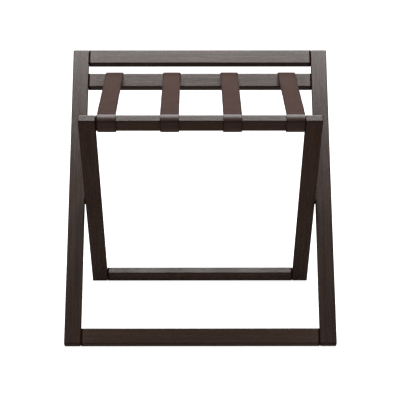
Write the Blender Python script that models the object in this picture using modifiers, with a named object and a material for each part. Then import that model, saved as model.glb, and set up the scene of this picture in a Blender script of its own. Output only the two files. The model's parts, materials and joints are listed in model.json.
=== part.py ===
"""Folding luggage rack: two crossed frames of rounded wooden bar, pinned to each other through
their legs, with four straps stretched between their top rails.

Each frame is laid out in its own axes, from an empty on the pivot axis: X across the rack,
Y through the thickness of the bars towards the back, Z up along the legs. Metres, +Z up.
The rack stands open on the floor at Z = 0, with its front towards -Y.
"""

import math

import bmesh
import bpy

# The open rack
RACK_WIDTH = 0.601
LEAN = math.radians(42.0)  # of each frame, away from upright
LEG_BELOW_PIVOT = 0.354
STRAP_RAIL_REACH = 0.332  # from the pivot axis to the top of either strap rail
HAND_GAP = 0.027  # between the rear strap rail and the luggage stop above it
SIDE_GAP = 0.0012  # between an outer leg and the inner leg beside it
CLEARANCE = 0.0003  # between any two pieces that touch

# Bars
LEG_WIDTH = 0.037
RAIL_HEIGHT = 0.037
BAR_THICKNESS = 0.018
EDGE_RADIUS = 0.0025
EDGE_STEPS = 2

# Straps
STRAP_COUNT = 4
STRAP_WIDTH = 0.041
STRAP_THICKNESS = 0.0025
STRAP_TO_LEG = 0.0021  # from the outermost strap's edge to the inner leg, on average
STRAPS_ASIDE = 0.0014  # how far the straps sit to the right of the middle
STRAP_END_DOWN_RAIL = 0.030  # from the top of the rear strap rail to the straps' ends behind it

# Dowels, two in each rail end
DOWEL_RADIUS = 0.004
DOWEL_LENGTH = 0.036
DOWEL_SPACING = 0.018
DOWEL_CHAMFER = 0.001

# Pivots: a bolt from the outside into the barrel of a sleeve nut from the inside
HEAD_RADIUS = 0.006
HEAD_HEIGHT = 0.003
HEAD_SUNK = 0.0005  # below the face of its leg
HEAD_CHAMFER = 0.0004
BOLT_RADIUS = 0.003
BOLT_END_GAP = 0.004  # from the bolt's end to the bottom of the barrel's bore
BARREL_RADIUS = 0.0045
BARREL_IN_OUTER_LEG = 0.018
BARREL_SOLID_END = 0.006  # between the sleeve nut's head and its bore
SOCKET_RADIUS = 0.0023
SOCKET_DEPTH = 0.002
SPACER_RADIUS = 0.0075

# Screws that hold the strap loops
SCREW_RADIUS = 0.00175
SCREW_TIP = 0.004
SCREW_END_WALL = 0.004  # wood left in front of the screw's tip
SCREW_HEAD_RADIUS = 0.004
SCREW_HEAD_HEIGHT = 0.002
SCREW_HEAD_CHAMFER = 0.0012
SCREW_SLOT_WIDTH = 0.001
SCREW_SLOT_DEPTH = 0.001

TURNED_STEPS = 16
OVERCUT = 0.001  # how far a cutter starts outside the face it enters

# Distances out from the middle of the rack
OUTER_FACE = RACK_WIDTH / 2
OUTER_LEG_INSIDE = OUTER_FACE - LEG_WIDTH
INNER_LEG_OUTSIDE = OUTER_LEG_INSIDE - SIDE_GAP
INNER_LEG_INSIDE = INNER_LEG_OUTSIDE - LEG_WIDTH

# Distances up the frames from the pivot axis
OUTER_TOP = STRAP_RAIL_REACH + HAND_GAP + RAIL_HEIGHT
FOOT = -LEG_BELOW_PIVOT

# The pivot axis: the lowest points of the rounded feet touch Z = 0, and the rack's depth is
# centred on Y = 0
CORNER_CUT = EDGE_RADIUS * (math.sin(LEAN) + math.cos(LEAN) - 1)
PIVOT_Z = LEG_BELOW_PIVOT * math.cos(LEAN) + BAR_THICKNESS / 2 * math.sin(LEAN) - CORNER_CUT
REAR_REACH = max(OUTER_TOP, LEG_BELOW_PIVOT)
FRONT_REACH = max(STRAP_RAIL_REACH, LEG_BELOW_PIVOT)
PIVOT_Y = (FRONT_REACH - REAR_REACH) * math.sin(LEAN) / 2

# Straps, from the rails they wrap
LOOP_INSIDE = CLEARANCE  # off the rail's faces
LOOP_OUTSIDE = CLEARANCE + STRAP_THICKNESS
STRAP_PITCH = (2 * (INNER_LEG_INSIDE - STRAP_TO_LEG) - STRAP_WIDTH) / (STRAP_COUNT - 1)

SIDES = {"left": -1, "right": 1}

for old in list(bpy.data.objects):
    bpy.data.objects.remove(old, do_unlink=True)

parts = bpy.data.collections.new("folding_luggage_rack")
cutters = bpy.data.collections.new("cutters")
bpy.context.scene.collection.children.link(parts)
bpy.context.scene.collection.children.link(cutters)
cutters.hide_render = True


def finish(name, colour, roughness, metallic=0.0):
    material = bpy.data.materials.new(name)
    material.use_nodes = True
    shader = material.node_tree.nodes["Principled BSDF"]
    shader.inputs["Base Color"].default_value = (*colour, 1.0)
    shader.inputs["Roughness"].default_value = roughness
    shader.inputs["Metallic"].default_value = metallic
    return material


WALNUT = finish("dark_walnut_lacquer", (0.048, 0.031, 0.024), 0.38)
BEECH = finish("raw_beech", (0.56, 0.39, 0.24), 0.70)
LEATHER = finish("brown_leather", (0.090, 0.054, 0.043), 0.50)
STEEL = finish("zinc_plated_steel", (0.62, 0.62, 0.60), 0.30, 1.0)
NYLON = finish("black_nylon", (0.020, 0.020, 0.022), 0.45)


def empty(name, rotation_x):
    """A frame's own axes, on the pivot axis."""
    axes = bpy.data.objects.new(name, None)
    axes.location = (0.0, PIVOT_Y, PIVOT_Z)
    axes.rotation_euler = (rotation_x, 0.0, 0.0)
    parts.objects.link(axes)
    return axes


def piece(name, mesh, material, parent, location=(0.0, 0.0, 0.0), rotation=(0.0, 0.0, 0.0)):
    if not mesh.materials:
        mesh.materials.append(material)
    made = bpy.data.objects.new(name, mesh)
    made.parent = parent
    made.location = location
    made.rotation_euler = rotation
    parts.objects.link(made)
    return made


def cutter(name, mesh, parent, location=(0.0, 0.0, 0.0), rotation=(0.0, 0.0, 0.0)):
    made = bpy.data.objects.new(name, mesh)
    made.parent = parent
    made.location = location
    made.rotation_euler = rotation
    made.hide_render = True
    made.display_type = "WIRE"
    cutters.objects.link(made)
    return made


def cut(solid, tool):
    boolean = solid.modifiers.new(tool.name, "BOOLEAN")
    boolean.operation = "DIFFERENCE"
    boolean.object = tool


def block(name, size, radius=0.0, every_edge=True):
    """A box about its own middle, its edges rounded: all of them, or only those along X."""
    shape = bmesh.new()
    bmesh.ops.create_cube(shape, size=1.0)
    bmesh.ops.scale(shape, vec=size, verts=shape.verts)
    if radius:
        along_x = [e for e in shape.edges if abs(e.verts[0].co.x - e.verts[1].co.x) > size[0] / 2]
        rounded = shape.edges[:] if every_edge else along_x
        bmesh.ops.bevel(
            shape, geom=rounded, offset=radius, segments=EDGE_STEPS, profile=0.5, affect="EDGES"
        )
    mesh = bpy.data.meshes.new(name)
    shape.to_mesh(mesh)
    shape.free()
    return mesh


def turned(name, outline, closed=False):
    """A solid turned about Z. Its outline is (radius, height) points down the outer side, from
    the axis back to the axis, or a closed ring of points."""
    mesh = bpy.data.meshes.new(name)
    count = len(outline)
    edges = [(i, (i + 1) % count) for i in range(count if closed else count - 1)]
    mesh.from_pydata([(radius, 0.0, height) for radius, height in outline], edges, [])
    profile = bpy.data.objects.new(name, mesh)
    cutters.objects.link(profile)
    screw = profile.modifiers.new("turn", "SCREW")
    screw.steps = TURNED_STEPS
    screw.render_steps = TURNED_STEPS
    screw.use_merge_vertices = True
    screw.merge_threshold = 0.00001
    solid = bpy.data.meshes.new_from_object(profile.evaluated_get(bpy.context.evaluated_depsgraph_get()))
    bpy.data.objects.remove(profile)
    solid.name = name
    solid.shade_smooth()
    solid.set_sharp_from_angle(angle=math.radians(30.0))
    return solid


def across(word):
    """The turn that points a turned piece's Z out to this side of the rack."""
    return (0.0, SIDES[word] * math.pi / 2, 0.0)


outer = empty("outer_frame_axes", -LEAN)
inner = empty("inner_frame_axes", LEAN)
seat = empty("seat_axes", 0.0)


# --- bars -----------------------------------------------------------------------------------


def leg(name, parent, x, top):
    size = (LEG_WIDTH, BAR_THICKNESS, top - FOOT)
    return piece(name, block(name, size, EDGE_RADIUS), WALNUT, parent, (x, 0.0, (top + FOOT) / 2))


def rail(name, parent, between_legs, top):
    size = (between_legs - 2 * CLEARANCE, BAR_THICKNESS, RAIL_HEIGHT)
    height = top - RAIL_HEIGHT / 2
    return piece(name, block(name, size, EDGE_RADIUS), WALNUT, parent, (0.0, 0.0, height))


def legs_and_rails(prefix, parent, inside, leg_top, rail_tops):
    """The bars of one frame: legs whose inner faces are this far out, and rails between them."""
    legs = {
        word: leg(f"{prefix}_leg_{word}", parent, side * (inside + LEG_WIDTH / 2), leg_top)
        for word, side in SIDES.items()
    }
    rails = {name: rail(name, parent, 2 * inside, top) for name, top in rail_tops.items()}
    return legs, rails


OUTER_RAIL_TOPS = {
    "luggage_stop_rail": OUTER_TOP,
    "rear_strap_rail": STRAP_RAIL_REACH,
    "outer_foot_rail": FOOT + RAIL_HEIGHT,
}
INNER_RAIL_TOPS = {
    "front_strap_rail": STRAP_RAIL_REACH,
    "inner_foot_rail": FOOT + RAIL_HEIGHT,
}
outer_legs, outer_rails = legs_and_rails(
    "outer", outer, OUTER_LEG_INSIDE, OUTER_TOP, OUTER_RAIL_TOPS
)
inner_legs, inner_rails = legs_and_rails(
    "inner", inner, INNER_LEG_INSIDE, STRAP_RAIL_REACH, INNER_RAIL_TOPS
)


# --- dowels ---------------------------------------------------------------------------------


def dowel_outline(radius, length, chamfer):
    half = length / 2
    end = [(0.0, half), (radius - chamfer, half), (radius, half - chamfer)]
    return end + [(r, -height) for r, height in reversed(end)]


dowel_mesh = turned("dowel", dowel_outline(DOWEL_RADIUS, DOWEL_LENGTH, DOWEL_CHAMFER))
dowel_hole_mesh = turned(
    "dowel_hole",
    dowel_outline(DOWEL_RADIUS + CLEARANCE, DOWEL_LENGTH + 2 * CLEARANCE, DOWEL_CHAMFER),
)


def dowel_joint(rail_bar, leg_bar, parent, word, joint_x):
    """Two dowels, half in the rail's end and half in the leg."""
    for level, step in (("upper", 1), ("lower", -1)):
        place = (SIDES[word] * joint_x, 0.0, rail_bar.location.z + step * DOWEL_SPACING / 2)
        name = f"{rail_bar.name}_dowel_{word}_{level}"
        piece(name, dowel_mesh, BEECH, parent, place, across(word))
        hole = cutter(f"{name}_hole", dowel_hole_mesh, parent, place, across(word))
        cut(rail_bar, hole)
        cut(leg_bar, hole)


for word in SIDES:
    for rail_bar in outer_rails.values():
        dowel_joint(rail_bar, outer_legs[word], outer, word, OUTER_LEG_INSIDE)
    for rail_bar in inner_rails.values():
        dowel_joint(rail_bar, inner_legs[word], inner, word, INNER_LEG_INSIDE)


# --- pivots ---------------------------------------------------------------------------------

BOLT_HEAD_OUT = OUTER_FACE - HEAD_SUNK
BOLT_HEAD_IN = BOLT_HEAD_OUT - HEAD_HEIGHT
SLEEVE_HEAD_IN = INNER_LEG_INSIDE + HEAD_SUNK
SLEEVE_HEAD_OUT = SLEEVE_HEAD_IN + HEAD_HEIGHT
BARREL_END = OUTER_LEG_INSIDE + BARREL_IN_OUTER_LEG
BORE_BOTTOM = SLEEVE_HEAD_OUT + BARREL_SOLID_END
BORE_RADIUS = BOLT_RADIUS + CLEARANCE

bolt_mesh = turned(
    "pivot_bolt",
    [
        (0.0, BOLT_HEAD_OUT),
        (HEAD_RADIUS - HEAD_CHAMFER, BOLT_HEAD_OUT),
        (HEAD_RADIUS, BOLT_HEAD_OUT - HEAD_CHAMFER),
        (HEAD_RADIUS, BOLT_HEAD_IN),
        (BOLT_RADIUS, BOLT_HEAD_IN),
        (BOLT_RADIUS, BORE_BOTTOM + BOLT_END_GAP + HEAD_CHAMFER),
        (BOLT_RADIUS - HEAD_CHAMFER, BORE_BOTTOM + BOLT_END_GAP),
        (0.0, BORE_BOTTOM + BOLT_END_GAP),
    ],
)
sleeve_mesh = turned(
    "pivot_sleeve_nut",
    [
        (0.0, BORE_BOTTOM),
        (BORE_RADIUS, BORE_BOTTOM),
        (BORE_RADIUS, BARREL_END),
        (BARREL_RADIUS, BARREL_END),
        (BARREL_RADIUS, SLEEVE_HEAD_OUT),
        (HEAD_RADIUS, SLEEVE_HEAD_OUT),
        (HEAD_RADIUS, SLEEVE_HEAD_IN + HEAD_CHAMFER),
        (HEAD_RADIUS - HEAD_CHAMFER, SLEEVE_HEAD_IN),
        (0.0, SLEEVE_HEAD_IN),
    ],
)
spacer_mesh = turned(
    "pivot_spacer",
    [
        (BARREL_RADIUS + CLEARANCE, OUTER_LEG_INSIDE - CLEARANCE),
        (SPACER_RADIUS, OUTER_LEG_INSIDE - CLEARANCE),
        (SPACER_RADIUS, INNER_LEG_OUTSIDE + CLEARANCE),
        (BARREL_RADIUS + CLEARANCE, INNER_LEG_OUTSIDE + CLEARANCE),
    ],
    closed=True,
)
outer_leg_bore_mesh = turned(
    "outer_leg_bore",
    [
        (0.0, OUTER_FACE + OVERCUT),
        (HEAD_RADIUS + CLEARANCE, OUTER_FACE + OVERCUT),
        (HEAD_RADIUS + CLEARANCE, BOLT_HEAD_IN - CLEARANCE),
        (BOLT_RADIUS + CLEARANCE, BOLT_HEAD_IN - CLEARANCE),
        (BOLT_RADIUS + CLEARANCE, BARREL_END + CLEARANCE),
        (BARREL_RADIUS + CLEARANCE, BARREL_END + CLEARANCE),
        (BARREL_RADIUS + CLEARANCE, OUTER_LEG_INSIDE - OVERCUT),
        (0.0, OUTER_LEG_INSIDE - OVERCUT),
    ],
)
inner_leg_bore_mesh = turned(
    "inner_leg_bore",
    [
        (0.0, INNER_LEG_OUTSIDE + OVERCUT),
        (BARREL_RADIUS + CLEARANCE, INNER_LEG_OUTSIDE + OVERCUT),
        (BARREL_RADIUS + CLEARANCE, SLEEVE_HEAD_OUT + CLEARANCE),
        (HEAD_RADIUS + CLEARANCE, SLEEVE_HEAD_OUT + CLEARANCE),
        (HEAD_RADIUS + CLEARANCE, INNER_LEG_INSIDE - OVERCUT),
        (0.0, INNER_LEG_INSIDE - OVERCUT),
    ],
)


def key_socket(head, face):
    """A six-sided socket for a key, sunk into a head from this face of it."""
    shape = bmesh.new()
    bmesh.ops.create_cone(
        shape,
        cap_ends=True,
        segments=6,
        radius1=SOCKET_RADIUS,
        radius2=SOCKET_RADIUS,
        depth=2 * SOCKET_DEPTH,
    )
    mesh = bpy.data.meshes.new("key_socket")
    shape.to_mesh(mesh)
    shape.free()
    cut(head, cutter(f"{head.name}_socket", mesh, head, (0.0, 0.0, face)))


for word in SIDES:
    turn = across(word)
    bolt = piece(f"pivot_bolt_{word}", bolt_mesh, STEEL, outer, rotation=turn)
    sleeve = piece(f"pivot_sleeve_nut_{word}", sleeve_mesh, STEEL, outer, rotation=turn)
    piece(f"pivot_spacer_{word}", spacer_mesh, NYLON, outer, rotation=turn)
    key_socket(bolt, BOLT_HEAD_OUT)
    key_socket(sleeve, SLEEVE_HEAD_IN)
    cut(outer_legs[word], cutter(f"outer_bore_{word}", outer_leg_bore_mesh, outer, rotation=turn))
    cut(inner_legs[word], cutter(f"inner_bore_{word}", inner_leg_bore_mesh, inner, rotation=turn))


# --- straps ---------------------------------------------------------------------------------

SCREW_DEPTH = BAR_THICKNESS - SCREW_END_WALL
SCREW_HEAD_BASE = LOOP_OUTSIDE + CLEARANCE
SCREW_HEAD_TOP = SCREW_HEAD_BASE + SCREW_HEAD_HEIGHT

# Heights are out from the face of the rail that the screw goes into
screw_mesh = turned(
    "strap_screw",
    [
        (0.0, SCREW_HEAD_TOP),
        (SCREW_HEAD_RADIUS - SCREW_HEAD_CHAMFER, SCREW_HEAD_TOP),
        (SCREW_HEAD_RADIUS, SCREW_HEAD_TOP - SCREW_HEAD_CHAMFER),
        (SCREW_HEAD_RADIUS, SCREW_HEAD_BASE),
        (SCREW_RADIUS, SCREW_HEAD_BASE),
        (SCREW_RADIUS, SCREW_TIP - SCREW_DEPTH),
        (0.0, -SCREW_DEPTH),
    ],
)
screw_hole_mesh = turned(
    "strap_screw_hole",
    [
        (0.0, LOOP_OUTSIDE + OVERCUT),
        (SCREW_RADIUS + CLEARANCE, LOOP_OUTSIDE + OVERCUT),
        (SCREW_RADIUS + CLEARANCE, SCREW_TIP - SCREW_DEPTH - CLEARANCE),
        (0.0, -SCREW_DEPTH - 2 * CLEARANCE),
    ],
)
slot_mesh = block(
    "screw_slot", (2 * (SCREW_HEAD_RADIUS + OVERCUT), SCREW_SLOT_WIDTH, 2 * SCREW_SLOT_DEPTH)
)


def around_rail(name, width, off_rail):
    """A bar as wide as this, standing this far off all four long faces of a rail."""
    size = (width, BAR_THICKNESS + 2 * off_rail, RAIL_HEIGHT + 2 * off_rail)
    return block(name, size, EDGE_RADIUS + off_rail, every_edge=False)


loop_mesh = around_rail("strap_loop", STRAP_WIDTH, LOOP_OUTSIDE)
loop_hollow_mesh = around_rail("strap_loop_hollow", STRAP_WIDTH + 2 * OVERCUT, LOOP_INSIDE)

# What a strap leaves bare at the rear: the front face of its rail up to the straight part of
# the top face, and everything below the strap's end
BARE_WIDTH = STRAP_WIDTH + 2 * OVERCUT
BARE_DEPTH = BAR_THICKNESS + 2 * (LOOP_OUTSIDE + OVERCUT)
BARE_HEIGHT = RAIL_HEIGHT + 2 * (LOOP_OUTSIDE + OVERCUT)
bare_front_mesh = block("bare_front", (BARE_WIDTH, BARE_DEPTH, BARE_HEIGHT))
bare_below_mesh = block("bare_below", (BARE_WIDTH, BARE_DEPTH, BARE_HEIGHT))
BARE_FRONT_Y = -(BAR_THICKNESS / 2 - EDGE_RADIUS) - BARE_DEPTH / 2
BARE_BELOW_Z = RAIL_HEIGHT / 2 - STRAP_END_DOWN_RAIL - BARE_HEIGHT / 2


def strap_screw(strap_end, rail_bar, parent, face, turn_x):
    """The screw that goes through a strap's end into a face of its rail."""
    name = strap_end.name.rsplit("_", 1)[0]
    turn = (turn_x, 0.0, 0.0)
    screw = piece(f"{name}_screw", screw_mesh, STEEL, parent, face, turn)
    hole = cutter(f"{screw.name}_hole", screw_hole_mesh, parent, face, turn)
    cut(strap_end, hole)
    cut(rail_bar, hole)
    cut(screw, cutter(f"{screw.name}_slot", slot_mesh, screw, (0.0, 0.0, SCREW_HEAD_TOP)))


def round_rail(name, rail_bar, parent, x):
    """A strap's loop, all the way round its rail."""
    middle = (x, 0.0, rail_bar.location.z)
    loop = piece(name, loop_mesh, LEATHER, parent, middle)
    cut(loop, cutter(f"{name}_hollow", loop_hollow_mesh, parent, middle))
    return loop


# The span is level and runs over the upper edges of the two strap rails. It stops short of the
# front loop by the clearance, measured square to the loop's sloping face at its underside, and
# short of the rear end's cut face, which stands square to the rear rail's top at its edge.
RAIL_EDGE_OUT = STRAP_RAIL_REACH - EDGE_RADIUS
RAIL_EDGE_IN = BAR_THICKNESS / 2 - EDGE_RADIUS
EDGE_Y = RAIL_EDGE_OUT * math.sin(LEAN) - RAIL_EDGE_IN * math.cos(LEAN)
EDGE_Z = RAIL_EDGE_OUT * math.cos(LEAN) + RAIL_EDGE_IN * math.sin(LEAN)
SPAN_UNDERSIDE = EDGE_Z + EDGE_RADIUS + LOOP_INSIDE
SPAN_TO_LOOP = (
    EDGE_RADIUS + LOOP_OUTSIDE + CLEARANCE - (EDGE_RADIUS + LOOP_INSIDE) * math.sin(LEAN)
) / math.cos(LEAN)
SPAN_FRONT = -(EDGE_Y - SPAN_TO_LOOP)
SPAN_REAR = EDGE_Y + (EDGE_RADIUS + LOOP_INSIDE) * math.tan(LEAN) - CLEARANCE / math.cos(LEAN)
SPAN_LENGTH = SPAN_REAR - SPAN_FRONT

span_mesh = block("strap_span", (STRAP_WIDTH, SPAN_LENGTH, STRAP_THICKNESS))
front_rail = inner_rails["front_strap_rail"]
rear_rail = outer_rails["rear_strap_rail"]

for index in range(STRAP_COUNT):
    name = f"strap_{index + 1}"
    x = STRAPS_ASIDE + (index - (STRAP_COUNT - 1) / 2) * STRAP_PITCH
    span_middle = (x, (SPAN_FRONT + SPAN_REAR) / 2, SPAN_UNDERSIDE + STRAP_THICKNESS / 2)
    piece(f"{name}_span", span_mesh, LEATHER, seat, span_middle)
    loop = round_rail(f"{name}_front_loop", front_rail, inner, x)
    under_rail = (x, 0.0, front_rail.location.z - RAIL_HEIGHT / 2)
    strap_screw(loop, front_rail, inner, under_rail, math.pi)
    over = round_rail(f"{name}_rear_end", rear_rail, outer, x)
    for bare, mesh, y, z in (
        ("front", bare_front_mesh, BARE_FRONT_Y, 0.0),
        ("below", bare_below_mesh, 0.0, BARE_BELOW_Z),
    ):
        middle = (x, y, rear_rail.location.z + z)
        cut(over, cutter(f"{over.name}_bare_{bare}", mesh, outer, middle))
    behind_rail = (x, BAR_THICKNESS / 2, rear_rail.location.z)
    strap_screw(over, rear_rail, outer, behind_rail, -math.pi / 2)
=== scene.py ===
"""Folding luggage rack: the finished walnut bars, leather straps and metal fittings, built round
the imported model, with the floor, the lights and the camera.

Metres, +Z up, +Y towards the back. Each frame of the rack has its own axes from the pivot: X
across the rack, "through" the thickness of its bars towards the back, and "up" its legs.
"""

import json
import math

import bmesh
import bpy
import numpy as np
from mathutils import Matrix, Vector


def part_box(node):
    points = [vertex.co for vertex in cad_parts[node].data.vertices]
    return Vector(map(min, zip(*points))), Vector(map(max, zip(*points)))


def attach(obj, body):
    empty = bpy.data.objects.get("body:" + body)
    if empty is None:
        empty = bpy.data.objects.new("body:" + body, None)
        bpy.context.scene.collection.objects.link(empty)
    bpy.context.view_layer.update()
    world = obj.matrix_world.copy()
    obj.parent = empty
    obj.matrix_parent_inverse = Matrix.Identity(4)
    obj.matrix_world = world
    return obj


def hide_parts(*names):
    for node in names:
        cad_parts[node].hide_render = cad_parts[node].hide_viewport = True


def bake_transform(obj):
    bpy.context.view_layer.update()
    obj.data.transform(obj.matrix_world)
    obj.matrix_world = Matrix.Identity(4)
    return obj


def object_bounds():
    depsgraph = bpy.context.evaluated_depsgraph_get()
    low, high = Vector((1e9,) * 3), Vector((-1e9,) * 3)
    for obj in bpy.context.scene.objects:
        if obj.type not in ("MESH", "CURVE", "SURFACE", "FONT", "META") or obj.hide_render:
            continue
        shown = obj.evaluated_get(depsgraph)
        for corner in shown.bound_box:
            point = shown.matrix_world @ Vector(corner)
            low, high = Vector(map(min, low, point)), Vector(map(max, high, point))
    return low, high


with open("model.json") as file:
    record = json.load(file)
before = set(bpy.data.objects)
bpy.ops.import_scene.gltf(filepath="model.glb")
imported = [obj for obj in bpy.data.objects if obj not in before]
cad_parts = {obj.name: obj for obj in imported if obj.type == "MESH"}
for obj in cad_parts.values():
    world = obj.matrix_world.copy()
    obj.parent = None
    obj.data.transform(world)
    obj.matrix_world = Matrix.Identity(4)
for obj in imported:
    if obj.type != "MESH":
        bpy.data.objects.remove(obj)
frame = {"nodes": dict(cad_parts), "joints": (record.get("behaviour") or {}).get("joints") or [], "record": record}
cad_low, cad_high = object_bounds()
record = frame["record"]
body_of_node = {
    node: body for body, nodes in record["behaviour"]["bodies"].items() for node in nodes
}

# --- sizes that the maker works to, in metres -----------------------------------------------

EDGE_RADIUS = 0.0025  # on the edges of a bar
RAIL_END_RADIUS = 0.0011  # where a rail's end meets its leg
CLEARANCE = 0.0003  # between pieces that touch
STRAP_WIDTH = 0.041
STRAP_THICKNESS = 0.0025
TAIL_SHORT = 0.006  # a strap's front end stops this far below the top of its rail
REAR_END_DOWN = 0.030  # and its rear end this far below the top of its own
STATION_SPACING = 0.006  # along a strap
CROWN = 0.00012  # how much a strap is thicker in the middle
PRESS_DEPTH = 0.0004  # where a screw's head presses into the leather
PRESS_REACH = 0.0058
BOW_OVER = 15.0  # degrees by which the leather bows out over the top of a rail
BOW_DOWN = 5.0  # and down its front

BOLT_SHANK = 0.0030  # radii
BARREL = 0.0045
SOCKET = 0.0023
HEAD_HEIGHT = 0.0030
HEAD_SOFTENED = 0.0005  # the rounding of a head's rim
SOCKET_DEPTH = 0.0020
BARREL_SOLID_END = 0.0060

GROOVE_SHADE_REACH = 0.0042  # how far from a rail's end the painted shade in the groove of its joint goes
NO_JOINT = 10.0  # half a length so great that no point is near the end
PALE_BOARDS = {"outer_foot_rail": 0.40, "inner_foot_rail": 0.15}  # pale under the stain, 0 to 1

SCREW_CORE = 0.00135
SCREW_THREAD = 0.0004
SCREW_PITCH = 0.0016
SCREW_SHANK = 0.00175
SCREW_HEAD = 0.0020
SCREW_SLOT = 0.0010  # width and depth
SCREW_PLAIN_NECK = 0.0042  # of the shank, between the head and the thread

# --- the two frames' axes -------------------------------------------------------------------

fold = frame["joints"][0]
PIVOT = np.array(fold["pos_m"], float)
STOP_FACE = next(m for m in record["mounts"] if m["name"] == "luggage_stop_face")
LEAN = math.atan2(STOP_FACE["axis"][2], -STOP_FACE["axis"][1])
ACROSS = np.array([1.0, 0.0, 0.0])


def frame_axes(lean):
    """Rows: across, through and up, for a frame whose top leans towards the back by this."""
    through = [0.0, math.cos(lean), -math.sin(lean)]
    up = [0.0, math.sin(lean), math.cos(lean)]
    return np.array([ACROSS, through, up])


AXES = {"outer_frame": frame_axes(LEAN), "inner_frame": frame_axes(-LEAN)}


def in_frame(points, body):
    """World points in a frame's own axes."""
    return (np.asarray(points) - PIVOT) @ AXES[body].T


def in_world(points, body):
    """Points in a frame's own axes, in the world."""
    return np.asarray(points) @ AXES[body] + PIVOT


def vertices_of(mesh):
    flat = np.zeros(len(mesh.vertices) * 3, np.float32)
    mesh.vertices.foreach_get("co", flat)
    return flat.reshape(-1, 3).astype(float)


def node_box(node):
    """The lowest and highest corner of a node in its own frame's axes."""
    points = in_frame(vertices_of(frame["nodes"][node].data), body_of_node[node])
    return points.min(axis=0), points.max(axis=0)


# The strap rails, and the middle of the edge that a strap first bends over, from the pivot
RAIL_LOW, RAIL_HIGH = node_box("rear_strap_rail")
RAIL_DEEP = RAIL_HIGH[1] - RAIL_LOW[1]
RAIL_TALL = RAIL_HIGH[2] - RAIL_LOW[2]
WRAP_RADIUS = EDGE_RADIUS + CLEARANCE + STRAP_THICKNESS / 2
FIRST_EDGE = np.array([RAIL_LOW[1] + EDGE_RADIUS, RAIL_HIGH[2] - EDGE_RADIUS])
EDGE_BACK = FIRST_EDGE[0] * math.cos(LEAN) + FIRST_EDGE[1] * math.sin(LEAN)
EDGE_UP = -FIRST_EDGE[0] * math.sin(LEAN) + FIRST_EDGE[1] * math.cos(LEAN)
LEAN_DEGREES = math.degrees(LEAN)

# --- meshes from grids ----------------------------------------------------------------------


def object_from(name, points, faces, sharp=35.0):
    """An object of these points and faces, doubles merged, shaded smooth but for sharp edges."""
    mesh = bpy.data.meshes.new(name)
    mesh.from_pydata(points.tolist(), [], faces)
    work = bmesh.new()
    work.from_mesh(mesh)
    bmesh.ops.remove_doubles(work, verts=work.verts, dist=1e-6)
    work.to_mesh(mesh)
    work.free()
    mesh.shade_smooth()
    mesh.set_sharp_from_angle(angle=math.radians(sharp))
    made = bpy.data.objects.new(name, mesh)
    bpy.context.scene.collection.objects.link(made)
    return made


def ring_faces(rows, columns, capped=True):
    """Faces of a grid whose rows are rings, each ring turning left about the way the rows go.

    The quad at (row, column) joins it to the next column, which wraps round, and to the next
    row. The caps are the first ring read backwards and the last ring read forwards."""
    here = np.arange(rows * columns).reshape(rows, columns)
    beside = np.roll(here, -1, axis=1)
    quads = np.stack([here[:-1], beside[:-1], beside[1:], here[1:]], axis=-1)
    faces = quads.reshape(-1, 4).tolist()
    if capped:
        faces += [here[0, ::-1].tolist(), here[-1].tolist()]
    return faces


def bored(piece, tools):
    """The piece with the tools' shapes cut out of it. The tools are used up."""
    for tool in tools:
        cut = piece.modifiers.new(tool.name, "BOOLEAN")
        cut.operation = "DIFFERENCE"
        cut.solver = "EXACT"
        cut.object = tool
    graph = bpy.context.evaluated_depsgraph_get()
    whole = piece.data
    piece.data = bpy.data.meshes.new_from_object(piece.evaluated_get(graph))
    piece.modifiers.clear()
    piece.data.set_sharp_from_angle(angle=math.radians(35.0))
    bpy.data.meshes.remove(whole)
    for tool in tools:
        bpy.data.objects.remove(tool)
    return piece


def add_field(piece, name, values):
    """Stores a vector for each vertex, for the piece's material to read."""
    field = piece.data.attributes.new(name, "FLOAT_VECTOR", "POINT")
    field.data.foreach_set("vector", np.ascontiguousarray(values, np.float32).ravel())


def finished(piece, node, material):
    """The piece stands for its node, moves with the node's body and takes its finish."""
    piece.data.materials.clear()
    piece.data.materials.append(material)
    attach(piece, body_of_node[node])
    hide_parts(node)
    return piece


def arc(centre, radius, start, end, steps):
    """Points on a circle: centre + radius (cos a, sin a), for angles in degrees."""
    angles = np.radians(np.linspace(start, end, steps + 1))
    return np.asarray(centre) + radius * np.stack([np.cos(angles), np.sin(angles)], axis=1)


# --- shader expressions ---------------------------------------------------------------------


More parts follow.
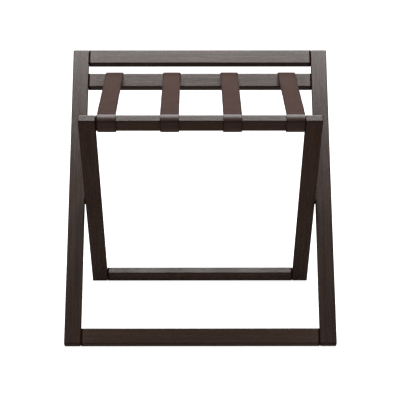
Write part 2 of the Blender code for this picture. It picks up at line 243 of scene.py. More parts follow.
class Tone:
    """A socket of a material's node tree. Python's operators on it add Math nodes."""

    def __init__(self, tree, socket=None):
        self.tree = tree
        self.socket = socket

    def node(self, kind, settings=(), inputs=(), output=0):
        """A node of this type: settings first, then the values or links of its sockets."""
        made = self.tree.nodes.new(kind)
        for name, value in dict(settings).items():
            setattr(made, name, value)
        for key, value in dict(inputs).items():
            if isinstance(value, Tone):
                self.tree.links.new(value.socket, made.inputs[key])
            else:
                made.inputs[key].default_value = value
        return Tone(self.tree, made.outputs[output])

    def math(self, operation, *values):
        return self.node("ShaderNodeMath", {"operation": operation}, enumerate(values))

    def __add__(self, other):
        return self.math("ADD", self, other)

    __radd__ = __add__

    def __sub__(self, other):
        return self.math("SUBTRACT", self, other)

    def __rsub__(self, other):
        return self.math("SUBTRACT", other, self)

    def __mul__(self, other):
        return self.math("MULTIPLY", self, other)

    __rmul__ = __mul__

    def __abs__(self):
        return self.math("ABSOLUTE", self)

    def rise(self, low, high):
        """0 below low, 1 above high, and a smooth step between."""
        settings = {"interpolation_type": "SMOOTHSTEP"}
        return self.node("ShaderNodeMapRange", settings, {0: self, 1: low, 2: high})

    def colour(self, first, second):
        """The first colour where this is 0, and the second where it is 1."""
        inputs = {0: self, 6: first, 7: second}
        return self.node("ShaderNodeMix", {"data_type": "RGBA"}, inputs, output=2)

    def stretched(self, factors):
        """This vector times the factors, axis by axis."""
        inputs = {0: self, 1: factors}
        return self.node("ShaderNodeVectorMath", {"operation": "MULTIPLY"}, inputs)

    def axis(self, number):
        return self.node("ShaderNodeSeparateXYZ", (), {0: self}, output=number)

    def noise(self, scale, detail=2.0, rough=0.5, distortion=0.0):
        inputs = {"Vector": self, "Scale": scale, "Detail": detail, "Roughness": rough}
        return self.node("ShaderNodeTexNoise", (), {**inputs, "Distortion": distortion})

    def bump(self, distance, strength=1.0):
        """This height, of so many metres, as a normal."""
        inputs = {"Height": self, "Distance": distance, "Strength": strength}
        return self.node("ShaderNodeBump", (), inputs)


def rgb(red, green, blue):
    return (red, green, blue, 1.0)


def new_material(name):
    """A material, its empty tone to build from, and the shader to set."""
    material = bpy.data.materials.new(name)
    material.use_nodes = True
    tree = material.node_tree
    return material, Tone(tree), tree.nodes["Principled BSDF"]


def set_shader(tone, shader, **values):
    """Sets the shader's sockets, named with _ for a space, to numbers, colours or tones."""
    for name, value in values.items():
        socket = shader.inputs[name.replace("_", " ")]
        if isinstance(value, Tone):
            tone.tree.links.new(value.socket, socket)
        else:
            socket.default_value = value


# --- finishes -------------------------------------------------------------------------------


def walnut():
    """Dark stained walnut under a satin lacquer: the grain runs along the bar.

    The "grain" field is (across, through, along) in metres. Long streaks are noise squeezed
    across the bar, and pores are finer noise cut off high up. The "edge" field is (edge, along,
    half): edge is 1 on the rounded edges, where the stain is redder and the lacquer duller, and
    half - |along| is the distance to the bar's end, near which, in the groove of a rail's
    joint, a dark matt shader without the lacquer's shine is mixed in as painted shade. The
    "board" field is how pale the board was under its stain, from 0 to 1."""
    material, tone, shader = new_material("dark_walnut_satin")
    grain = tone.node("ShaderNodeAttribute", {"attribute_name": "grain"}, (), "Vector")
    worn = tone.node("ShaderNodeAttribute", {"attribute_name": "edge"}, (), "Vector")
    board = tone.node("ShaderNodeAttribute", {"attribute_name": "board"}, (), "Vector").axis(0)
    edge = worn.axis(0)
    to_end = worn.axis(2) - abs(worn.axis(1))
    # painted shade: 1 in the groove where a rail's end meets its leg, 0 away from it
    painted_joint_shade = 1 - to_end.rise(GROOVE_SHADE_REACH * 0.7, GROOVE_SHADE_REACH)
    drift = grain.stretched((14.0, 14.0, 3.0)).noise(1.0, 2.0)
    figure = grain.stretched((150.0, 150.0, 5.0)).noise(1.0, 4.0, 0.62, 0.5)
    fibre = grain.stretched((900.0, 900.0, 22.0)).noise(1.0, 2.0, 0.6)
    pores = grain.stretched((1500.0, 1500.0, 75.0)).noise(1.0, 1.0).rise(0.60, 0.72)
    streak = (figure * 0.65 + fibre * 0.35).rise(0.34, 0.66)
    lit = streak.colour(rgb(0.0285, 0.0150, 0.0100), rgb(0.0430, 0.0233, 0.0160))
    warm = drift.rise(0.35, 0.70).colour(lit, rgb(0.0470, 0.0225, 0.0135))
    body = (drift.rise(0.3, 0.7) * 0.45).colour(lit, warm)
    body = board.colour(body, rgb(0.0860, 0.0480, 0.0310))
    pored = (pores * 0.5).colour(body, rgb(0.0090, 0.0050, 0.0038))
    stained = (edge * 0.80).colour(pored, rgb(0.0240, 0.0080, 0.0050))
    height = streak * 0.25 + fibre * 0.35 - pores * 0.9
    set_shader(
        tone,
        shader,
        Base_Color=stained,
        Roughness=0.235 + streak * 0.05 + pores * 0.10 + edge * 0.20,
        Normal=height.bump(0.00005, 0.35),
        Specular_IOR_Level=0.5,
        Coat_Weight=0.12,
        Coat_Roughness=0.28,
    )
    # the painted shade in the joints: a dark matt diffuse shader, without the lacquer's shine
    groove = tone.node("ShaderNodeBsdfDiffuse", (), {"Color": rgb(0.0170, 0.0070, 0.0040)})
    lacquered = Tone(tone.tree, shader.outputs[0])
    surface = tone.node("ShaderNodeMixShader", (), {0: painted_joint_shade, 1: lacquered, 2: groove})
    tone.tree.links.new(surface.socket, tone.tree.nodes["Material Output"].inputs["Surface"])
    return material


def strap_leather():
    """Smooth brown leather: a fine pebble, a slow change of colour, burnished edges.

    The "lay" field is (across, y, z) in metres, with across from the strap's middle. The
    pebble is the distance to the nearest of two cells' shared edge. Past the rails' edges the
    leather is polished by what has slid over it, and painted darker as painted shade on the loops."""
    material, tone, shader = new_material("brown_strap_leather")
    lay = tone.node("ShaderNodeAttribute", {"attribute_name": "lay"}, (), "Vector")
    cell = {"feature": "DISTANCE_TO_EDGE"}
    pebble = tone.node(
        "ShaderNodeTexVoronoi", cell, {"Vector": lay.stretched((1100.0,) * 3), "Scale": 1.0}
    ).rise(0.0, 0.35)
    cloud = lay.stretched((28.0, 95.0, 95.0)).noise(1.0, 3.0, 0.60)
    speck = lay.stretched((700.0,) * 3).noise(1.0, 3.0, 0.6)
    across = abs(lay.axis(0))
    burnish = across.rise(STRAP_WIDTH / 2 - 0.0034, STRAP_WIDTH / 2 - 0.0012)
    # 1 past the rails' edges: lower roughness there for the polish, and painted shade in the colour
    loop_polish_and_shade = abs(lay.axis(1)).rise(EDGE_BACK - 0.004, EDGE_BACK + 0.001)
    tint = (cloud * 0.6 + speck * 0.4).rise(0.32, 0.68)
    base = tint.colour(rgb(0.040, 0.0175, 0.0125), rgb(0.070, 0.0355, 0.0270))
    worn = (1 - pebble).math("MULTIPLY", 1 - pebble, 0.35).colour(base, rgb(0.040, 0.023, 0.019))
    # painted shade: the leather round the rails is painted darker, for the shade on the loops
    shaded_loops = (loop_polish_and_shade * 0.40).colour(worn, rgb(0.022, 0.0125, 0.0100))
    edged = (burnish * 0.85).colour(shaded_loops, rgb(0.020, 0.0105, 0.0080))
    set_shader(
        tone,
        shader,
        Base_Color=edged,
        Roughness=0.48 - loop_polish_and_shade * 0.17 - burnish * 0.04 + speck * 0.08 - pebble * 0.03,
        Normal=(pebble * 0.7 + speck * 0.3).bump(0.00010, 0.35),
        Specular_IOR_Level=0.38,
    )
    return material


def raw_beech():
    """Pale unfinished beech with short dark flecks, its fibres across the rack."""
    material, tone, shader = new_material("raw_beech")
    place = tone.node("ShaderNodeTexCoord", (), (), "Object")
    fibre = place.stretched((60.0, 900.0, 900.0)).noise(1.0, 3.0, 0.6)
    fleck = place.stretched((350.0, 1600.0, 1600.0)).noise(1.0, 1.0).rise(0.60, 0.70)
    base = fibre.rise(0.35, 0.65).colour(rgb(0.50, 0.33, 0.19), rgb(0.62, 0.44, 0.28))
    set_shader(
        tone,
        shader,
        Base_Color=(fleck * 0.6).colour(base, rgb(0.30, 0.17, 0.09)),
        Roughness=0.62 + fibre * 0.15,
        Normal=(fibre - fleck * 0.5).bump(0.00008, 0.6),
    )
    return material


def plated_steel():
    """Zinc-plated steel: bright, with a fine turned texture and faint duller clouds."""
    material, tone, shader = new_material("zinc_plated_steel")
    place = tone.node("ShaderNodeTexCoord", (), (), "Object")
    cloud = place.noise(260.0, 3.0, 0.6)
    scratch = place.stretched((3500.0, 500.0, 500.0)).noise(1.0, 2.0, 0.6)
    base = cloud.rise(0.3, 0.7).colour(rgb(0.50, 0.51, 0.50), rgb(0.68, 0.68, 0.65))
    set_shader(
        tone,
        shader,
        Base_Color=base,
        Metallic=1.0,
        Roughness=0.22 + cloud * 0.12 + scratch * 0.08,
        Normal=scratch.bump(0.00001, 0.4),
    )
    return material


def black_nylon():
    """Moulded black nylon with a fine matt grain."""
    material, tone, shader = new_material("black_nylon")
    place = tone.node("ShaderNodeTexCoord", (), (), "Object")
    grain = place.noise(1800.0, 2.0, 0.5)
    set_shader(
        tone,
        shader,
        Base_Color=grain.colour(rgb(0.012, 0.012, 0.013), rgb(0.026, 0.026, 0.028)),
        Roughness=0.42 + grain * 0.16,
        Normal=grain.bump(0.00004, 0.5),
    )
    return material


WALNUT = walnut()
LEATHER = strap_leather()
BEECH = raw_beech()
STEEL = plated_steel()
NYLON = black_nylon()

# --- turned shapes and plain bars -----------------------------------------------------------


def turned(name, outline, origin, axis, steps=48):
    """An outline of (radius, height) turned about an axis.

    The point at (row, angle) is origin + height axis + radius (cos a side + sin a beyond),
    where side and beyond are square to the axis. Heights rise along the outline's outside."""
    axis = np.asarray(axis, float)
    side = np.cross(axis, ACROSS if abs(axis[0]) < 0.5 else [0.0, 0.0, 1.0])
    side = side / np.linalg.norm(side)
    beyond = np.cross(axis, side)
    angles = np.arange(steps) * 2 * np.pi / steps
    radius, height = np.asarray(outline, float).T
    radius = np.repeat(radius[:, None], steps, axis=1)
    return swept_ring(name, radius, height, angles, np.asarray(origin), axis, side, beyond)


def swept_ring(name, radius, height, angles, origin, axis, side, beyond):
    """The solid whose radius is given for every height and angle."""
    round_part = radius[..., None] * (
        np.cos(angles)[None, :, None] * side + np.sin(angles)[None, :, None] * beyond
    )
    points = origin + height[:, None, None] * axis + round_part
    faces = ring_faces(len(height), len(angles), capped=False)
    return object_from(name, points.reshape(-1, 3), faces)


CORNER_STEPS = 7
SUPPORT = 0.0005  # the narrow flat strip beside a rounding, which keeps wide faces flat


def rounded_bar(name, low, high, radius, end_radius, body, length_axis, spacing=0.02):
    """A bar between two corners in a frame's axes, with every edge rounded.

    Stations along the bar each hold one rounded rectangle. Its corners sit r inside the bar
    and have the radius r - e (1 - cos(p)), where p runs from 90 degrees at the end of the bar
    to 0 at e from it, and the station's distance from the end is e (1 - sin(p)): r rounds the
    long edges and e those round the ends. A first, smaller rectangle and narrow strips beside
    each corner keep the faces flat."""
    order = {2: [0, 1, 2], 0: [1, 2, 0]}[length_axis]
    low, high = np.asarray(low)[order], np.asarray(high)[order]
    half = (high - low)[:2] / 2
    middle = (high + low)[:2] / 2
    tilt = np.radians(np.linspace(90.0, 0.0, CORNER_STEPS + 1))
    cap_radius = max(radius - end_radius - SUPPORT, 0.0)
    cap_inside = SUPPORT - (radius - end_radius - cap_radius)
    start_z = np.concatenate([[0.0], end_radius * (1 - np.sin(tilt)), [end_radius + SUPPORT]])
    start_r = np.concatenate([[cap_radius], radius - end_radius * (1 - np.cos(tilt)), [radius]])
    start_in = np.concatenate([[cap_inside], np.zeros(CORNER_STEPS + 2)])
    length = high[2] - low[2]
    run = length - 2 * (end_radius + SUPPORT)
    between = np.linspace(0.0, run, max(int(run / spacing), 1) + 1)[1:-1] + end_radius + SUPPORT
    station_z = np.concatenate([start_z, between, length - start_z[::-1]]) + low[2]
    station_r = np.concatenate([start_r, np.full(len(between), radius), start_r[::-1]])
    station_in = np.concatenate([start_in, np.zeros(len(between)), start_in[::-1]])
    turn = np.radians(np.linspace(0.0, 90.0, CORNER_STEPS + 1))
    turn = np.concatenate([turn[:1], turn, turn[-1:]])
    slide = np.concatenate([[-SUPPORT], np.zeros(CORNER_STEPS + 1), [SUPPORT]])
    rings = []
    for quarter, (sx, sy) in enumerate(((1, 1), (-1, 1), (-1, -1), (1, -1))):
        angle = turn + quarter * math.pi / 2
        out = np.stack([np.cos(angle), np.sin(angle)], axis=1)
        along = np.stack([-np.sin(angle), np.cos(angle)], axis=1) * slide[:, None]
        corner = (half - radius) * (sx, sy)
        centre = corner - station_in[:, None, None] * np.array((sx, sy))
        rings.append(centre + station_r[:, None, None] * out + along)
    ring = np.concatenate(rings, axis=1) + middle
    points = np.concatenate(
        [ring, np.repeat(station_z[:, None, None], ring.shape[1], axis=1)], axis=2
    )
    points = points[..., np.argsort(order)].reshape(-1, 3)
    faces = ring_faces(len(station_z), ring.shape[1])
    return object_from(name, in_world(points, body), faces)


# --- pivots ---------------------------------------------------------------------------------


def softened(corner, toward_axis, along):
    """The quarter circle that rounds a head's rim: from its face to its side, or back."""
    return arc(corner, HEAD_SOFTENED, toward_axis, along, 5)


def pivot(word, side):
    """One pivot's three pieces, and the tools that bore the two legs for them.

    Heights are out from the middle of the rack along the pivot axis."""
    names = {kind: f"pivot_{kind}_{word}" for kind in ("bolt", "sleeve_nut", "spacer")}
    boxes = {kind: node_box(name) for kind, name in names.items()}
    reach = {
        kind: sorted((side * box[0][0], side * box[1][0])) for kind, box in boxes.items()
    }
    head = boxes["bolt"][1][2]
    spacer = boxes["spacer"][1][2]
    bolt_end, bolt_face = reach["bolt"]
    nut_face, barrel_end = reach["sleeve_nut"]
    inside, outside = reach["spacer"]
    axis = side * ACROSS
    rim = head - HEAD_SOFTENED

    def part(name, outline, steps=64):
        return turned(name, outline, PIVOT, axis, steps)

    threads = np.arange(bolt_end + 0.001, bolt_end + 0.012, 0.0005)
    crests = np.where(np.arange(len(threads)) % 2, BOLT_SHANK, BOLT_SHANK - 0.0003)
    bolt = part(
        f"{names['bolt']}_steel",
        [(0, bolt_end), (BOLT_SHANK - 0.0006, bolt_end)]
        + list(zip(crests, threads))
        + [(BOLT_SHANK, threads[-1] + 0.0005), (BOLT_SHANK, bolt_face - HEAD_HEIGHT)]
        + [(head, bolt_face - HEAD_HEIGHT)]
        + softened((rim, bolt_face - HEAD_SOFTENED), 0, 90).tolist()
        + [(0, bolt_face)],
    )
    bore_end = nut_face + HEAD_HEIGHT + BARREL_SOLID_END
    nut = part(
        f"{names['sleeve_nut']}_steel",
        [(0, nut_face)]
        + softened((rim, nut_face + HEAD_SOFTENED), -90, 0).tolist()
        + [(head, nut_face + HEAD_HEIGHT), (BARREL, nut_face + HEAD_HEIGHT)]
        + [(BARREL, barrel_end - 0.0003), (BARREL - 0.0003, barrel_end)]
        + [(BOLT_SHANK + 0.0005, barrel_end), (BOLT_SHANK + CLEARANCE, barrel_end - 0.0003)]
        + [(BOLT_SHANK + CLEARANCE, bore_end), (0, bore_end)],
    )
    for piece, face, way in ((bolt, bolt_face, 1), (nut, nut_face, -1)):
        low, high = sorted((face - way * SOCKET_DEPTH, face + way * SOCKET_DEPTH))
        socket = [(0, low), (SOCKET, low), (SOCKET, high), (0, high)]
        bored(piece, [part("socket", socket, steps=6)])
    hole = BARREL + CLEARANCE
    ease = 0.0003
    ring = part(
        f"{names['spacer']}_nylon",
        [(hole, inside + ease), (hole + ease, inside), (spacer - ease, inside)]
        + [(spacer, inside + ease), (spacer, outside - ease), (spacer - ease, outside)]
        + [(hole + ease, outside), (hole, outside - ease), (hole, inside + ease)],
    )
    finished(bolt, names["bolt"], STEEL)
    finished(nut, names["sleeve_nut"], STEEL)
    finished(ring, names["spacer"], NYLON)
    head_hole = head + CLEARANCE
    face = node_box(f"outer_leg_{word}")[1 if side > 0 else 0][0] * side
    ease = 0.0006  # the eased rim of a counterbore
    outer_bore = [
        (0, inside - 0.002),
        (hole, inside - 0.002),
        (hole, barrel_end + CLEARANCE),
        (BOLT_SHANK + CLEARANCE, barrel_end + CLEARANCE),
        (BOLT_SHANK + CLEARANCE, bolt_face - HEAD_HEIGHT - CLEARANCE),
        (head_hole, bolt_face - HEAD_HEIGHT - CLEARANCE),
        (head_hole, face - ease),
        (head_hole + 2 * ease, face + ease),
        (0, face + ease),
    ]
    inner_face = nut_face - (face - bolt_face)
    inner_bore = [
        (0, inner_face - ease),
        (head_hole + 2 * ease, inner_face - ease),
        (head_hole, inner_face + ease),
        (head_hole, nut_face + HEAD_HEIGHT + CLEARANCE),
        (hole, nut_face + HEAD_HEIGHT + CLEARANCE),
        (hole, outside),
        (0, outside),
    ]
    return {
        f"outer_leg_{word}": part("outer_bore", outer_bore),
        f"inner_leg_{word}": part("inner_bore", inner_bore),
    }


tools = {node: [] for node in frame["nodes"]}
for word, side in (("left", -1), ("right", 1)):
    for node, tool in pivot(word, side).items():
        tools[node].append(tool)

# --- screws ---------------------------------------------------------------------------------


def thread_radius(height, angles, tip_height, neck_height):
    """A wood screw's radius: its core, and a ridge that climbs one pitch in each turn.

    The ridge is a triangle wave of height / pitch - angle / full turn, cubed to a sharp crest.
    It fades in over the tip, where the core narrows to a point, and out at the plain neck."""
    phase = (height[:, None] / SCREW_PITCH - angles / (2 * np.pi)) % 1.0
    crest = (1 - abs(2 * phase - 1)) ** 3
    taper = np.clip((height - tip_height) / 0.004, 0.0, 1.0)[:, None]
    fade = np.clip((neck_height - height) / 0.001, 0.0, 1.0)[:, None]
    return SCREW_CORE * taper**0.7 + SCREW_THREAD * crest * np.minimum(taper * 3, fade) * taper


def strap_screw(node):
    """A slotted, domed wood screw through a strap's end into its rail.

    Gives the two cutters for its hole, one for the rail and one for the strap, and the top of
    the screw in the world."""
    body = body_of_node[node]
    low, high = node_box(node)
    middle = (low + high) / 2
    rear = "rear" in node
    out = AXES[body][1] if rear else -AXES[body][2]
    top = middle.copy()
    top[1 if rear else 2] = high[1] if rear else low[2]
    origin = in_world(top, body)
    length = (high - low)[1 if rear else 2]
    head = (high - low)[0] / 2
    steps = 32
    angles = np.arange(steps) * 2 * np.pi / steps
    thread = np.arange(-length, -SCREW_HEAD - SCREW_PLAIN_NECK, SCREW_PITCH / 10)
    thread_rows = thread_radius(thread, angles, -length, thread[-1])
    thread_rows[0] = 0.0
    dome = arc((0.0, -SCREW_HEAD), 1.0, 0, 90, 10) * (head, 1.0)
    dome[:, 1] = -SCREW_HEAD * 0.55 + (dome[:, 1] + SCREW_HEAD) * SCREW_HEAD * 0.55
    plain = [(SCREW_SHANK, thread[-1] + 0.0006), (SCREW_SHANK, -SCREW_HEAD)]
    plain += [(head - 0.0002, -SCREW_HEAD), (head, -SCREW_HEAD + 0.0002)]
    radius, height = np.array(plain + dome.tolist()).T
    radius = np.concatenate([thread_rows, np.repeat(radius[:, None], steps, axis=1)])
    height = np.concatenate([thread, height])
    side = ACROSS
    beyond = np.cross(out, side)
    screw = swept_ring(f"{node}_steel", radius, height, angles, origin, out, side, beyond)
    slot_low = top - head - 0.001
    slot_high = top + head + 0.001
    depth = 1 if rear else 2
    wide = 2 if rear else 1
    slot_low[wide], slot_high[wide] = top[wide] - SCREW_SLOT / 2, top[wide] + SCREW_SLOT / 2
    way = 1 if rear else -1
    cut = sorted((top[depth] - SCREW_SLOT * way, top[depth] + 0.003 * way))
    slot_low[depth], slot_high[depth] = cut
    slot = rounded_bar("slot", slot_low, slot_high, 0.0001, 0.0001, body, 0, spacing=1.0)
    bored(screw, [slot])
    finished(screw, node, STEEL)
    gap = CLEARANCE
    hole = [
        (0, -length - gap),
        (SCREW_SHANK + gap, -length + 0.004),
        (SCREW_SHANK + gap, 0.001),
        (0, 0.001),
    ]
    return [turned(f"{node}_hole", hole, origin, out, steps=24) for _ in range(2)], origin


screw_holes = {}
screw_tops = {}
for node in sorted(n for n in frame["nodes"] if n.endswith("_screw")):
    (rail_hole, strap_hole), top = strap_screw(node)
    rail = "rear_strap_rail" if "rear" in node else "front_strap_rail"
    tools[rail].append(rail_hole)
    screw_holes[node] = strap_hole
    screw_tops[node] = top

# --- dowels ---------------------------------------------------------------------------------


def dowel(node):
    """A fluted dowel with eased ends, and the two holes that it fills.

    Its radius is R - d (1 - |cos(n a / 2)|), so n shallow flutes run along it."""
    low, high = node_box(node)
    middle = in_world((low + high) / 2, body_of_node[node])
    radius = (high - low)[1] / 2
    half = (high - low)[0] / 2
    flutes, depth, ease = 12, 0.0004, 0.001
    angles = np.arange(48) * 2 * np.pi / 48
    wave = radius - depth * (1 - abs(np.cos(flutes * angles / 2)))
    ends = np.array([0.0, radius - ease, radius - 0.3 * ease])
    heights = np.array([-half, -half, -half + 0.7 * ease, -half + 1.2 * ease])
    rows = np.concatenate([np.repeat(ends[:, None], 48, axis=1), wave[None, :]])
    rows = np.concatenate([rows, rows[::-1]])
    heights = np.concatenate([heights, -heights[::-1]])
    side, beyond = np.eye(3)[1], np.eye(3)[2]
    made = swept_ring(f"{node}_beech", rows, heights, angles, middle, ACROSS, side, beyond)
    finished(made, node, BEECH)
    wide, long = radius + CLEARANCE, half + CLEARANCE
    hole = [(0, -long), (wide - ease, -long), (wide, ease - long)]
    hole += [(r, -h) for r, h in reversed(hole)]
    return [turned(f"{node}_hole", hole, middle, ACROSS, steps=32) for _ in range(2)]


for node in sorted(n for n in frame["nodes"] if "_dowel_" in n):
    rail, place = node.split("_dowel_")
    leg = f"{body_of_node[node].split('_')[0]}_leg_{place.split('_')[0]}"
    in_rail, in_leg = dowel(node)
    tools[rail].append(in_rail)
    tools[leg].append(in_leg)

# --- bars -----------------------------------------------------------------------------------


def bar(node, number):
    """A leg or a rail in finished walnut, bored for its dowels, screws and pivot.

    Its grain field is its own (across, through, along), moved along by its number, so that
    no two bars show the same figure. Its edge field is (edge, along, half). Edge is 1 on the
    rounded edges and 0 on the flats: one less the distance inwards from the nearest edge, over
    its radius. Along is from the middle, and half is half of a rail's length, or far for a leg,
    whose own ends aren't joints."""
    body = body_of_node[node]
    low, high = node_box(node)
    along = 2 if "_leg_" in node else 0
    end_radius = EDGE_RADIUS if along == 2 else RAIL_END_RADIUS
    made = rounded_bar(f"{node}_walnut", low, high, EDGE_RADIUS, end_radius, body, along)
    bored(made, tools[node])
    local = in_frame(vertices_of(made.data), body)
    middle = (low + high) / 2
    order = [0, 1, 2] if along == 2 else [2, 1, 0]
    grain = (local - middle)[:, order] + np.array([0.31, 0.17, 1.7]) * (number + 1)
    inwards = np.sort(np.minimum(local - low, high - local), axis=1)[:, 1]
    edge = np.clip(1 - inwards / EDGE_RADIUS, 0.0, 1.0)
    add_field(made, "grain", grain)
    half = (high - low)[0] / 2 if along == 0 else NO_JOINT
    field = [edge, (local - middle)[:, along], np.full(len(edge), half)]
    add_field(made, "edge", np.stack(field, axis=1))
    add_field(made, "board", np.full((len(edge), 3), PALE_BOARDS.get(node, 0.0)))
    return finished(made, node, WALNUT)


BARS = sorted(n for n in frame["nodes"] if n.endswith("_rail") or "_leg_" in n)
for number, node in enumerate(BARS):
    bar(node, number)

# --- straps ---------------------------------------------------------------------------------


def carried(moves, spacing):
    """Stations along a path of straight runs and turns to the right.

    A run of length l goes on at the heading h. A turn by an angle about a circle of radius r
    to the right swings the heading down by it. Returns each station's (back, up) and heading,
    from the middle of the span, at the height of the ribbon's middle."""
    place = np.array([0.0, EDGE_UP + WRAP_RADIUS])
    heading = 0.0
    places, headings = [place[None]], [np.zeros(1)]
    for amount, radius in moves:
        angle = math.radians(heading)
        if radius is None:
            count = max(int(math.ceil(amount / spacing)), 2)
            steps = np.linspace(0.0, amount, count + 1)[1:, None]
            line = place + steps * np.array([math.cos(angle), math.sin(angle)])
            turned_to = np.full(len(line), heading)
        else:
            centre = place + radius * np.array([math.sin(angle), -math.cos(angle)])
            count = max(int(round(amount / 6.0)), 6)
            line = arc(centre, radius, heading + 90, heading + 90 - amount, count)[1:]
            turned_to = heading - np.linspace(0.0, amount, count + 1)[1:]
        places.append(line)
        headings.append(turned_to)
        heading = turned_to[-1]
        place = line[-1]
    return np.concatenate(places), np.concatenate(headings)


def round_corners(first_run, faces):
    """Moves along a straight run, then round the corners of a rail and over its faces.

    Each face is (corner, run, bow): the angle of the corner before it, its straight length and
    the angle at which the leather leaves its corners, so that it bows out over the face. A bow
    b over a run l is an arc of 2 b, of radius l / (2 sin b) + the corners' own radius, and it
    takes b off the corner at each end."""
    moves = [(first_run, None)]
    last_bow = 0.0
    for corner, run, bow in faces:
        moves.append((corner - last_bow - bow, WRAP_RADIUS))
        if bow:
            moves.append((2 * bow, run / (2 * math.sin(math.radians(bow))) + WRAP_RADIUS))
        else:
            moves.append((run, None))
        last_bow = bow
    return moves


ACROSS_RAIL = RAIL_DEEP - 2 * EDGE_RADIUS
DOWN_RAIL = RAIL_TALL - 2 * EDGE_RADIUS
OVER_RAIL = (LEAN_DEGREES, ACROSS_RAIL, BOW_OVER)
FRONT_LOOP = round_corners(
    EDGE_BACK,
    [
        OVER_RAIL,
        (90.0, DOWN_RAIL, BOW_DOWN),
        (90.0, ACROSS_RAIL, 0.0),
        (90.0, RAIL_TALL - EDGE_RADIUS - TAIL_SHORT, 0.0),
    ],
)
REAR_END = round_corners(EDGE_BACK, [OVER_RAIL, (90.0, REAR_END_DOWN - EDGE_RADIUS, 0.0)])
STRAP_LENGTH = sum(
    amount if radius is None else math.radians(amount) * radius
    for amount, radius in FRONT_LOOP + REAR_END
)


def strap_section():
    """A strap's cross-section: (across, out), turning left about the way the strap runs.

    The face is flat, with a pressed line near each edge: a groove of depth d exp(-(u / w)^2).
    The two edges are half circles, and the back is plain."""
    half, thick = STRAP_WIDTH / 2, STRAP_THICKNESS / 2
    line_in, groove, groove_width = 0.0030, 0.00022, 0.00045
    flat = half - thick
    beside = np.linspace(flat - 0.0045, flat, 16)
    face = np.concatenate([-beside[::-1], np.linspace(-(flat - 0.006), flat - 0.006, 19), beside])
    pressed = groove * np.exp(-(((half - abs(face)) - line_in) / groove_width) ** 2)
    crown = CROWN * (1 - (face / half) ** 2)
    top = np.stack([face, thick - pressed + crown - CROWN], axis=1)
    right = arc((flat, 0.0), thick, 90, -90, 10)[1:-1]
    under = np.linspace(flat, -flat, 19)
    back = np.stack([under, np.full(19, -thick)], axis=1)
    left = arc((-flat, 0.0), thick, -90, -270, 10)[1:-1]
    return np.concatenate([top, right, back, left])


def strap(number):
    """One strap: a ribbon carried round the front rail, over the span, and down the rear rail.

    Its point at (station, u) is the path's point, plus across x u[0], plus the path's outward
    normal x u[1]. Near a screw the face is pressed in by a bell curve."""
    span = f"strap_{number}_span"
    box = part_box(span)
    middle_x = (box[0].x + box[1].x) / 2
    places, headings = carried(REAR_END, STATION_SPACING)
    forward, falling = carried(FRONT_LOOP, STATION_SPACING)
    path = np.concatenate([forward[:0:-1] * (-1, 1), places])
    angle = np.radians(np.concatenate([-falling[:0:-1], headings]))
    normal = np.stack([-np.sin(angle), np.cos(angle)], axis=1)
    section = strap_section()
    wander = 0.00010 * np.sin(path[:, 0] * 61 + number) + 0.00006 * np.sin(path[:, 0] * 173)
    across = -section[None, :, 0] * (1 + 0.004 * np.sin(path[:, :1] * 47 + 2 * number))
    out = np.repeat(section[None, :, 1], len(path), axis=0)
    across = across + wander[:, None]
    spread = path[:, None, :] + normal[:, None, :] * out[..., None]
    points = np.concatenate([across[..., None] + middle_x, spread], axis=2)
    points[..., 1:] += PIVOT[1:]
    for end in ("rear", "front"):
        top = screw_tops[f"strap_{number}_{end}_screw"]
        away = np.linalg.norm(points - top, axis=2)
        press = PRESS_DEPTH * np.exp(-((away / PRESS_REACH) ** 2)) * (out > 0)
        points[..., 1:] -= normal[:, None, :] * press[..., None]
    faces = ring_faces(len(path), len(section))
    ribbon = object_from(f"strap_{number}_leather", points.reshape(-1, 3), faces)
    holes = [screw_holes[f"strap_{number}_{end}_screw"] for end in ("rear", "front")]
    bored(ribbon, holes)
    rest = vertices_of(ribbon.data) - PIVOT
    add_field(ribbon, "lay", np.column_stack([rest[:, 0] - middle_x, rest[:, 1:]]))
    ribbon.data.materials.clear()
    ribbon.data.materials.append(LEATHER)
    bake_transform(ribbon)
    underside = EDGE_UP + WRAP_RADIUS - STRAP_THICKNESS / 2 - 0.00002
    on_span = (rest[:, 2] > underside) & (abs(rest[:, 1]) < EDGE_BACK)
    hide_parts(span, f"strap_{number}_rear_end", f"strap_{number}_front_loop")
    return ribbon


STRAPS = sorted(n for n in frame["nodes"] if n.startswith("strap_") and n.endswith("_span"))
for number in range(1, len(STRAPS) + 1):
    strap(number)

# --- floor, light and camera ----------------------------------------------------------------


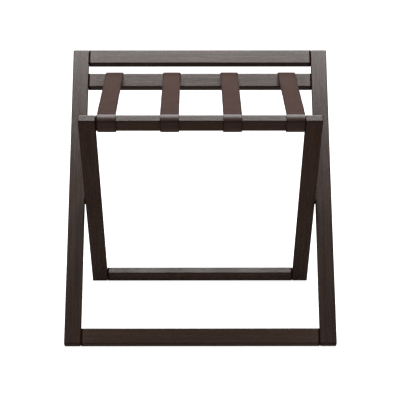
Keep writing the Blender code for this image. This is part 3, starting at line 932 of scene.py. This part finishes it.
def pale_floor():
    """A wide plain floor, kept out of reflections so that dark wood stays dark."""
    size = 30.0
    corners = np.array([(-1, -1, 0), (1, -1, 0), (1, 1, 0), (-1, 1, 0)], float) * size
    corners[:, 2] = cad_low.z - 0.0005
    floor = object_from("floor", corners, [[0, 1, 2, 3]])
    material, tone, shader = new_material("pale_floor")
    sight = tone.node("ShaderNodeLightPath", (), (), "Is Camera Ray")
    set_shader(
        tone,
        shader,
        Base_Color=sight.colour(rgb(0.80, 0.79, 0.77), rgb(0.80, 0.80, 0.80)),
        Roughness=0.9,
        Emission_Color=sight.colour(rgb(0.24, 0.236, 0.23), rgb(1.0, 1.0, 1.0)),
        Emission_Strength=0.97,
    )
    floor.data.materials.append(material)
    floor.visible_glossy = False


def softbox(name, centre, size, power, target):
    """A rectangular soft light at a place, facing a target."""
    light = bpy.data.lights.new(name, "AREA")
    light.shape = "RECTANGLE"
    light.size, light.size_y = size
    light.energy = power
    made = bpy.data.objects.new(name, light)
    bpy.context.scene.collection.objects.link(made)
    centre, target = np.array(centre, float), np.array(target, float)
    down = target - centre
    made.location = centre
    made.rotation_euler = (
        math.atan2(math.hypot(down[0], down[1]), -down[2]),
        0.0,
        math.atan2(-down[0], down[1]) if abs(down[0]) + abs(down[1]) > 1e-6 else 0.0,
    )


def studio_world():
    """White to the camera and dim to everything else."""
    world = bpy.data.worlds.new("studio")
    bpy.context.scene.world = world
    world.use_nodes = True
    tree = world.node_tree
    tone = Tone(tree)
    sight = tone.node("ShaderNodeLightPath", (), (), "Is Camera Ray")
    tree.links.new(
        sight.colour(rgb(0.045, 0.045, 0.048), rgb(1.0, 1.0, 1.0)).socket,
        tree.nodes["Background"].inputs["Color"],
    )


def camera():
    """A long lens, a little above the rack and in front of it."""
    lens = bpy.data.cameras.new("camera")
    lens.lens = 164.9
    lens.sensor_width = 36.0
    made = bpy.data.objects.new("camera", lens)
    bpy.context.scene.collection.objects.link(made)
    made.location = (-0.0106, -4.0487, 1.4126)
    made.rotation_euler = (math.radians(90.0 - 15.81), 0.0, math.radians(-0.146))
    bpy.context.scene.camera = made


pale_floor()
softbox("overhead_softbox", (0.0, 0.22, 3.0), (3.2, 1.20), 131.0, (0.0, 0.22, 0.0))
studio_world()
camera()
bpy.context.scene.view_settings.view_transform = "Standard"
